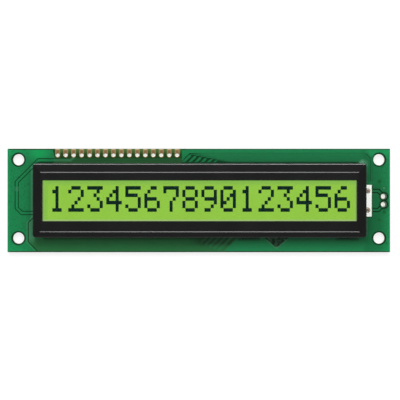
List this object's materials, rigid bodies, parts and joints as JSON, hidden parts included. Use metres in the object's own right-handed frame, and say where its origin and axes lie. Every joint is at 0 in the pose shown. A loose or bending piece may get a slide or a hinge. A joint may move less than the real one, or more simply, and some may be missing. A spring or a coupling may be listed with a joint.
{
  "type": "character lcd module",
  "caption": "Long single-row character display on a circuit board, with a pressed black bezel, LED backlight, plated header holes and corner mounting holes.",
  "frame": {"origin": "bottom centre of the overall box, on the plane that the ends of the bezel's tabs stand on", "axes": "+X along the row of characters, +Y towards the edge with the header holes, +Z out of the display's face"},
  "size_m": [0.122, 0.033, 0.013],
  "materials": {
    "board_laminate": "satin",
    "masked_copper": "satin",
    "bare_copper": "satin",
    "tinned_metal": "satin",
    "gold_plating": "gloss",
    "black_steel": "satin",
    "polariser_film": "gloss",
    "display_glass": "polished",
    "seal_resin": "matte",
    "driven_crystal": "matte",
    "lit_polariser": "satin",
    "diffuser": "matte",
    "white_plastic": "matte",
    "white_board": "satin",
    "led_lens": "gloss",
    "solder": "satin",
    "strip_rubber": "matte",
    "black_epoxy": "gloss",
    "resistor_black": "satin",
    "capacitor_ceramic": "satin"
  },
  "bodies": {
    "root": {"circuit_board": "board_laminate", "front_copper": "masked_copper", "front_tracks": "masked_copper", "rear_copper": "masked_copper", "rear_tracks": "masked_copper", "header_pads": "bare_copper", "supply_pads": "tinned_metal", "contact_fingers": "gold_plating", "bezel": "black_steel", "front_polariser": "polariser_film", "front_glass": "display_glass", "cell_seal": "seal_resin", "fill_port_plug": "seal_resin", "lit_dots": "driven_crystal", "rear_glass": "display_glass", "rear_polariser": "lit_polariser", "backlight_diffuser": "diffuser", "backlight_housing": "white_plastic", "led_board": "white_board", "led_chips": "led_lens", "backlight_pins": "bare_copper", "pin_solder": "solder", "contact_strip": "strip_rubber", "controller_blob": "black_epoxy", "driver_blob": "black_epoxy", "chip_lands": "tinned_metal", "resistor_bodies": "resistor_black", "resistor_ends": "tinned_metal", "capacitor_bodies": "capacitor_ceramic", "capacitor_ends": "tinned_metal"}
  },
  "joints": []
}
